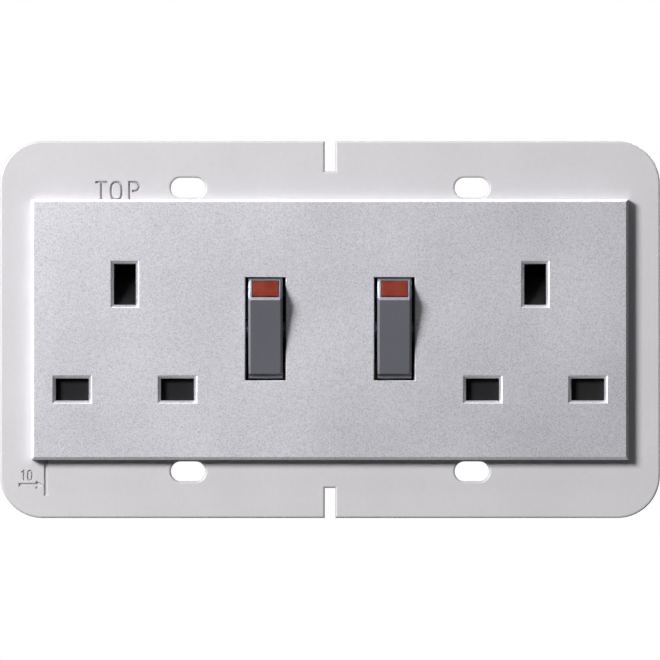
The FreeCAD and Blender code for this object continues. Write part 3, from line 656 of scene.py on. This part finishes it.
springs = {
    "wire": 0.3, "pointsPerTurn": 20, "roundSteps": 3, "shutterTurns": 6, "shutterKeep": 0.266,
    "plungerTurns": 4, "plungerTilt": 7.0,
}


def wireMesh(name, points, wire):
    curve = bpy.data.curves.new(name, "CURVE")
    curve.dimensions = "3D"
    curve.bevel_depth = wire / 2 * mm
    curve.bevel_resolution = springs["roundSteps"]
    curve.use_fill_caps = True
    line = curve.splines.new("POLY")
    line.points.add(len(points) - 1)
    for point, place in zip(line.points, points):
        point.co = (*place, 1.0)
    return closedUp(smoothFaces(bakedOut(linked(name + "Helper", curve))))


def coilPoints(start, end, radius, turns):
    # the first and last turn lie closed, the rest opens evenly
    wire = springs["wire"] * mm
    along = (end - start).normalized()
    across = Vector((1, 0, 0))
    third = along.cross(across).normalized()
    free = (end - start).length - wire
    openRise = (free - 2 * wire) / (turns - 2)
    steps = turns * springs["pointsPerTurn"]
    points = []
    for i in range(steps + 1):
        turn = turns * i / steps
        openTurns = min(max(turn - 1, 0), turns - 2)
        rise = wire * min(turn, 1) + openRise * openTurns + wire * max(turn - turns + 1, 0)
        angle = 2 * math.pi * turn
        side = across * math.cos(angle) + third * math.sin(angle)
        points.append(start + along * (rise + wire / 2) + side * (radius - wire / 2))
    return points


def coilPiece(pieceName, nodeName, start, end, radius, turns):
    mesh = wireMesh(nodeName, coilPoints(start, end, radius, turns), springs["wire"])
    return keepPiece(pieceName, mesh, nodeName, "springWire")


for side in sides:
    nodeName = side + "_shutter_spring"
    low, high, middle = boxOf(nodeName)
    ends = Vector((middle.x, middle.y, low.z)), Vector((middle.x, middle.y, high.z))
    radius = (high.x - low.x) / 2
    piece = coilPiece(side + "_shutter_coil", nodeName, *ends, radius, springs["shutterTurns"])
    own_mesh(piece)
    for pin in ("live", "neutral"):
        nodeName = side + "_" + pin + "_plunger_spring"
        low, high, middle = boxOf(nodeName)
        radius = (high.x - low.x) / 2
        tilt = math.radians(springs["plungerTilt"])
        half = ((high.y - low.y) - 2 * radius * math.sin(tilt)) / math.cos(tilt) / 2
        reach = Vector((0, math.cos(tilt), math.sin(tilt))) * half
        pieceName = side + "_" + pin + "_plunger_coil"
        coilPiece(pieceName, nodeName, middle - reach, middle + reach, radius, springs["plungerTurns"])
print("springs wound for both sides")


# screws, set on their places by geometry nodes; sizes in millimetres

screwKinds = {
    "housing_screws": {
        "name": "housing_screw_set", "radius": 1.45, "head": 2.75, "headThick": 2.0,
        "pitch": 0.9, "thread": 0.28, "cross": (0.62, 3.0, 1.1), "plain": 2.5,
    },
    "terminal_screws": {
        "name": "terminal_screw_set", "radius": 1.75, "head": 0.0, "headThick": 0.0,
        "pitch": 0.7, "thread": 0.2, "cross": (0.55, 4.0, 0.9), "plain": 0.4,
    },
}
screwForm = {
    "around": 20, "perPitch": 5, "seed": 7, "smoothAngle": 40,
    "tip": 0.25, "lead": 0.15, "runOut": 0.1, "chamfer": 0.2,
    "crown": (0.45, 0.8, 1.1, 1.35), "crownRise": 0.8, "crownCurve": 0.45, "crownFlat": 0.42,
    "slotFloor": 0.8, "slotMouth": 1.1, "slotAbove": 0.5,
}


def screwOutline(kind, length):
    # (height, radius, thread depth) from the tip at 0 to the end, with a pan head where the kind has one
    radius, deep, head = kind["radius"], kind["thread"], kind["head"]
    lead, runOut, chamfer = screwForm["lead"], screwForm["runOut"], screwForm["chamfer"]
    shank = length - kind["headThick"]
    threadEnd = shank - kind["plain"]
    steps = int(threadEnd / kind["pitch"] * screwForm["perPitch"])
    rings = [(0.0, radius - deep - screwForm["tip"], 0.0)]
    rings += [(lead + (threadEnd - lead) * i / steps, radius, deep) for i in range(steps + 1)]
    if not head:
        core = radius - deep
        rings += [(threadEnd + runOut, core, 0.0), (length - chamfer, core, 0.0)]
        return rings + [(length, core - chamfer, 0.0)]
    neck = radius - deep / 2
    rings += [(threadEnd + runOut, neck, 0.0), (shank, neck, 0.0), (shank, head, 0.0)]
    for turn in screwForm["crown"]:
        rise = kind["headThick"] * math.sin(turn) ** screwForm["crownRise"]
        rings.append((shank + rise, head * math.cos(turn) ** screwForm["crownCurve"], 0.0))
    return rings + [(length, head * screwForm["crownFlat"], 0.0)]


def slotCutter(size, top, deep):
    # narrows towards its floor, centred on the screw's axis
    levels = ((top - deep, screwForm["slotFloor"]), (top + screwForm["slotAbove"], screwForm["slotMouth"]))
    corners = ((-1, -1), (1, -1), (1, 1), (-1, 1))
    rings = []
    for y, share in levels:
        places = [(a * size[0] / 2 * share, y, b * size[1] / 2 * share) for a, b in corners]
        rings.append([[part * mm for part in place] for place in places])
    return ringsMesh("block", rings)


def screwShape(name, kind, length):
    # a rod about +Y with a helical thread and its slot or cross
    around = screwForm["around"]
    rings = []
    for y, size, depth in screwOutline(kind, length):
        ring = []
        for j in range(around):
            phase = (y / kind["pitch"] - j / around) % 1.0
            radius = size - depth * abs(2 * phase - 1)
            turn = 2 * math.pi * j / around
            ring.append([part * mm for part in (radius * math.cos(turn), y, radius * math.sin(turn))])
        rings.append(ring)
    wide, long, deepCut = kind["cross"]
    cutters = [slotCutter((long, wide), length, deepCut)]
    if kind["head"]:
        cutters.append(slotCutter((wide, long), length, deepCut))
    return closedUp(cutFrom(ringsMesh(name, rings), cutters))


def screwSetTree():
    # screws stand on the points of a mesh, each turned about its own axis by a seeded amount
    tree = bpy.data.node_groups.new("screwSet", "GeometryNodeTree")
    ports = tree.interface
    ports.new_socket("Places", in_out="INPUT", socket_type="NodeSocketGeometry")
    ports.new_socket("Screw", in_out="INPUT", socket_type="NodeSocketObject")
    ports.new_socket("Size", in_out="INPUT", socket_type="NodeSocketFloat").default_value = 1.0
    ports.new_socket("Seed", in_out="INPUT", socket_type="NodeSocketInt").default_value = 1
    ports.new_socket("Finish", in_out="INPUT", socket_type="NodeSocketMaterial")
    ports.new_socket("Screws", in_out="OUTPUT", socket_type="NodeSocketGeometry")
    make = tree.nodes.new
    start = make("NodeGroupInput")
    end = make("NodeGroupOutput")
    shape = make("GeometryNodeObjectInfo")
    turn = make("FunctionNodeRandomValue")
    turn.data_type = "FLOAT"
    spin = make("ShaderNodeCombineXYZ")
    place = make("GeometryNodeInstanceOnPoints")
    real = make("GeometryNodeRealizeInstances")
    paint = make("GeometryNodeSetMaterial")
    lowest, highest = [socket for socket in turn.inputs if socket.type == "VALUE" and socket.enabled][:2]
    lowest.default_value = 0.0
    highest.default_value = 2 * math.pi
    drawn = next(socket for socket in turn.outputs if socket.enabled)
    link = tree.links.new
    link(start.outputs["Screw"], shape.inputs["Object"])
    link(start.outputs["Seed"], turn.inputs["Seed"])
    link(drawn, spin.inputs["Y"])
    link(start.outputs["Places"], place.inputs["Points"])
    link(shape.outputs["Geometry"], place.inputs["Instance"])
    link(spin.outputs["Vector"], place.inputs["Rotation"])
    link(start.outputs["Size"], place.inputs["Scale"])
    link(place.outputs["Instances"], real.inputs["Geometry"])
    link(real.outputs["Geometry"], paint.inputs["Geometry"])
    link(start.outputs["Finish"], paint.inputs["Material"])
    link(paint.outputs["Geometry"], end.inputs["Screws"])
    return tree


def screwPlaces(nodeName):
    # the screws of one node stand apart in x and z: one place for each, on the axis at the front end
    groups = {}
    for vertex in nodes[nodeName].data.vertices:
        groups.setdefault((vertex.co.x > 0, vertex.co.z > 0), []).append(vertex.co)
    places = []
    for group in groups.values():
        lows = [min(place[i] for place in group) for i in range(3)]
        highs = [max(place[i] for place in group) for i in range(3)]
        places.append(Vector(((lows[0] + highs[0]) / 2, lows[1], (lows[2] + highs[2]) / 2)))
    return sorted(places, key=lambda place: (place.z, place.x)), (highs[1] - lows[1]) / mm


screwTree = screwSetTree()
sockets = {item.name: item.identifier for item in screwTree.interface.items_tree if item.in_out == "INPUT"}
for nodeName, kind in screwKinds.items():
    places, length = screwPlaces(nodeName)
    mesh = evenNormals(screwShape(kind["name"], kind, length), screwForm["smoothAngle"])
    shape = linked(kind["name"] + "Shape", mesh)
    points = bpy.data.meshes.new("places")
    points.from_pydata(places, [], [])
    helper = linked("places", points)
    setter = helper.modifiers.new("screws", "NODES")
    setter.node_group = screwTree
    setter[sockets["Screw"]] = shape
    setter[sockets["Size"]] = 1.0
    setter[sockets["Seed"]] = screwForm["seed"]
    setter[sockets["Finish"]] = materials["zincScrew"]
    mesh = bakedOut(helper)
    dropObject(shape)
    keepPiece(kind["name"], mesh, nodeName, "zincScrew")
    print("screws set:", kind["name"], len(places), len(mesh.polygons), "faces")


# neon lamps and their resistors; sizes in millimetres, profiles as (along, share of the radius) from an end,
# and the rods' reach as shares of the glass's half length

lampForm = {
    "glass": 1.45, "long": 6.4, "tip": 0.5, "tipProfile": ((0.0, 0.35), (0.3, 0.75), (1.0, 1.0)),
    "under": 0.05, "rodApart": 0.55, "rodFrom": 0.55, "rodTo": 0.8, "lead": 0.4, "bend": 0.2,
}
resistorForm = {
    "radius": 0.86, "profile": ((0.05, 0.5), (0.2, 1.0), (0.9, 1.0), (1.1, 0.86)),
    "tailFrom": 0.9, "bodyAway": 0.5,
}
lampSteps = 24


def revolvedMesh(name, outline, axis, place):
    # turns an outline of (along, radius) about a line through the place
    rings = []
    for along, radius in outline:
        ring = []
        for j in range(lampSteps):
            turn = 2 * math.pi * j / lampSteps
            first, second = radius * math.cos(turn), radius * math.sin(turn)
            step = Vector((along, first, second)) if axis == "X" else Vector((first, along, second))
            ring.append(place + step * mm)
        rings.append(ring)
    return smoothFaces(ringsMesh(name, rings))


def bentLead(points, ease):
    # the corners of a wire eased with short curves
    smooth = [points[0]]
    for before, here, after in zip(points, points[1:], points[2:]):
        first = here + (before - here).normalized() * ease * mm
        last = here + (after - here).normalized() * ease * mm
        smooth += [first, (first + last + here * 2) / 4, last]
    return smooth + [points[-1]]


def glassOutline():
    half, tip, radius = lampForm["long"] / 2, lampForm["tip"], lampForm["glass"]
    profile = lampForm["tipProfile"]
    start = [(-half + tip * along, radius * share) for along, share in profile]
    return start + [(half - tip * along, radius * share) for along, share in reversed(profile)]


def leadWire(nodeName, way, glassAt, reachX):
    # from inside the glass out through its end and down to where the CAD lead ends
    half = lampForm["long"] / 2
    middleX = boxOf(nodeName)[2].x
    endY = max(v.co.y for v in nodes[nodeName].data.vertices if (v.co.x - middleX) * way > 0)
    rodAt = glassAt + Vector((0, 0, way * lampForm["rodApart"] * mm))
    corners = [
        rodAt - Vector((way * half * lampForm["rodFrom"] * mm, 0, 0)),
        rodAt + Vector((way * half * lampForm["rodTo"] * mm, 0, 0)),
        glassAt + Vector((way * half * mm, 0, 0)),
        Vector((middleX + way * reachX, glassAt.y, glassAt.z)),
        Vector((middleX + way * reachX, endY, glassAt.z)),
    ]
    return wireMesh("lead", bentLead(corners, lampForm["bend"]), lampForm["lead"])


def resistorMesh(nodeName):
    low, high, middle = boxOf(nodeName)
    away = resistorForm["bodyAway"] * mm
    length = max(v.co.y for v in nodes[nodeName].data.vertices if abs(v.co.x - middle.x) > away) - low.y
    long, radius, profile = length / mm, resistorForm["radius"], resistorForm["profile"]
    outline = [(along, radius * share) for along, share in profile]
    outline += [(long - along, radius * share) for along, share in reversed(profile)]
    body = revolvedMesh("body", outline, "Y", Vector((middle.x, low.y, middle.z)))
    tailStart = Vector((middle.x, low.y + length * resistorForm["tailFrom"], middle.z))
    tail = wireMesh("tail", [tailStart, Vector((middle.x, high.y, middle.z))], lampForm["lead"])
    return joinedMesh("resistor", [body, tail])


for side in sides:
    nodeName = side + "_neon_lamp"
    low, high, middle = boxOf(nodeName)
    glassAt = Vector((middle.x, low.y + lampForm["glass"] * mm + lampForm["under"] * mm, middle.z))
    glass = revolvedMesh("glass", glassOutline(), "X", glassAt)
    keepPiece(side + "_lamp_glass", glass, nodeName, "lampGlass")
    reachX = (high.x - low.x) / 2 - lampForm["lead"] / 2 * mm
    leads = joinedMesh("leads", [leadWire(nodeName, way, glassAt, reachX) for way in (-1, 1)])
    keepPiece(side + "_lamp_leads", leads, nodeName, "springWire", replaces=False)
    nodeName = side + "_resistor"
    keepPiece(side + "_resistor_body", resistorMesh(nodeName), nodeName, "resistorCoat")
print("lamps and resistors made")


# CAD pieces kept as they are, with the finish for each ending of a name

keptFinishes = {
    "_rocker_lens": "redLens", "_contact": "brass", "_busbar": "brass", "earth_strap": "brass",
    "_bridge": "shadeDarkenedBrass", "_contact_carrier": "blackMoulding", "_plunger": "paleMoulding",
# the bridges take the brass darkened as painted shade for the rocker gaps
}

for nodeName, node in nodes.items():
    for ending, finishName in keptFinishes.items():
        if nodeName.endswith(ending):
            if not node.material_slots:
                node.data.materials.append(None)
            for slot in node.material_slots:
                slot.material = materials[finishName]
print("finishes given to the kept pieces")


# stage: floor, lamps, world and camera; lengths in metres

stage = {
    "floorZ": -0.7, "floorHalf": 0.9, "floorDim": (0.10, 0.12), "floorPale": (0.93, 0.97), "floorCloud": 3,
    "floorRough": 0.9, "floorShare": 0.1, "worldTint": (0.97, 0.98, 1.0, 1), "worldLevel": 0.022,
    "backdrop": (0.32, 0.7, 0.02, 1.0), "cameraAway": 1.5, "frameWide": 0.1395, "centreZ": -0.0001,
    "sensor": 36, "clipEnd": 20,
}

# place, width and height of each lamp in metres, and its power in watts
lamps = {
    "key": ((-0.95, -1.17, 0.62), 0.54, 0.50, 43.0),
    "ridge": ((-0.03, -0.95, 0.50), 0.24, 0.10, 0.42),
    "left": ((-0.80, 0.06, 0.05), 0.26, 0.70, 1.4),
    "top": ((0.0, 0.09, 0.80), 0.60, 0.16, 1.15),
    "rims": ((0.0, -0.34, 0.80), 0.60, 0.12, 1.0),
    "back": ((0.5, 0.9, 0.5), 0.6, 0.6, 14.0),
}


def makeLamp(name, place, wide, high, power):
    lamp = bpy.data.lights.new(name, "AREA")
    lamp.shape = "RECTANGLE"
    lamp.size = wide
    lamp.size_y = high
    lamp.energy = power
    holder = linked(name, lamp)
    holder.location = place
    holder.rotation_euler = (-Vector(place)).to_track_quat("-Z", "Y").to_euler()


def mathOf(tree, operation, first, second):
    node = tree.nodes.new("ShaderNodeMath")
    node.operation = operation
    for socket, value in zip(node.inputs, (first, second)):
        if isinstance(value, float):
            socket.default_value = value
        else:
            tree.links.new(value, socket)
    return node.outputs["Value"]


def seenRays(tree, share):
    # 1 for what the camera sees directly, and the share for what metal and glass show of it
    path = tree.nodes.new("ShaderNodeLightPath").outputs
    indirect = mathOf(tree, "MAXIMUM", path["Is Glossy Ray"], path["Is Transmission Ray"])
    return mathOf(tree, "MAXIMUM", path["Is Camera Ray"], mathOf(tree, "MULTIPLY", indirect, share))


def backgroundShare(tree):
    # for metal and glass the white backdrop stands only behind the object; the camera's side is a dim room
    coords = tree.nodes.new("ShaderNodeTexCoord")
    apart = tree.nodes.new("ShaderNodeSeparateXYZ")
    tree.links.new(coords.outputs["Generated"], apart.inputs[0])
    return spanOf(tree, apart.outputs["Y"], *stage["backdrop"])


def makeFloor():
    half, floorZ = stage["floorHalf"], stage["floorZ"]
    mesh = bpy.data.meshes.new("floor")
    corners = [(-half, -half, floorZ), (half, -half, floorZ), (half, half, floorZ), (-half, half, floorZ)]
    mesh.from_pydata(corners, [], [(0, 1, 2, 3)])
    material, tree, shader, coords = newMaterial("paleFloor")
    cloud = noiseOf(tree, coords, stage["floorCloud"])
    dim = cloudRamp(tree, cloud, *(grey(level) for level in stage["floorDim"]))
    pale = cloudRamp(tree, cloud, *(grey(level) for level in stage["floorPale"]))
    seen = mixOf(tree, "MIX", seenRays(tree, stage["floorShare"]), dim, pale)
    tree.links.new(seen, shader.inputs["Base Color"])
    shader.inputs["Roughness"].default_value = stage["floorRough"]
    mesh.materials.append(material)
    linked("floor", mesh)


def backgroundOf(tree, colour, strength):
    background = tree.nodes.new("ShaderNodeBackground")
    background.inputs["Color"].default_value = colour
    background.inputs["Strength"].default_value = strength
    return background.outputs["Background"]


def makeWorld():
    world = bpy.data.worlds.new("studio")
    bpy.context.scene.world = world
    world.use_nodes = True
    tree = world.node_tree
    tree.nodes.clear()
    out = tree.nodes.new("ShaderNodeOutputWorld")
    mix = tree.nodes.new("ShaderNodeMixShader")
    tree.links.new(seenRays(tree, backgroundShare(tree)), mix.inputs["Fac"])
    tree.links.new(backgroundOf(tree, stage["worldTint"], stage["worldLevel"]), mix.inputs[1])
    tree.links.new(backgroundOf(tree, (1, 1, 1, 1), 1.0), mix.inputs[2])
    tree.links.new(mix.outputs["Shader"], out.inputs["Surface"])


def makeCamera():
    # the frame's width is measured in the plane of the plate's face
    data = bpy.data.cameras.new("camera")
    data.sensor_width = stage["sensor"]
    data.lens = stage["sensor"] * stage["cameraAway"] / stage["frameWide"]
    data.clip_end = stage["clipEnd"]
    camera = linked("camera", data)
    camera.location = (0, plate["face"] * mm - stage["cameraAway"], stage["centreZ"])
    camera.rotation_euler = (math.radians(90), 0, 0)
    bpy.context.scene.camera = camera


makeFloor()
makeWorld()
makeCamera()
for lampName, lampValues in lamps.items():
    makeLamp(lampName, *lampValues)
bpy.context.scene.view_settings.view_transform = "Standard"
print("stage made")
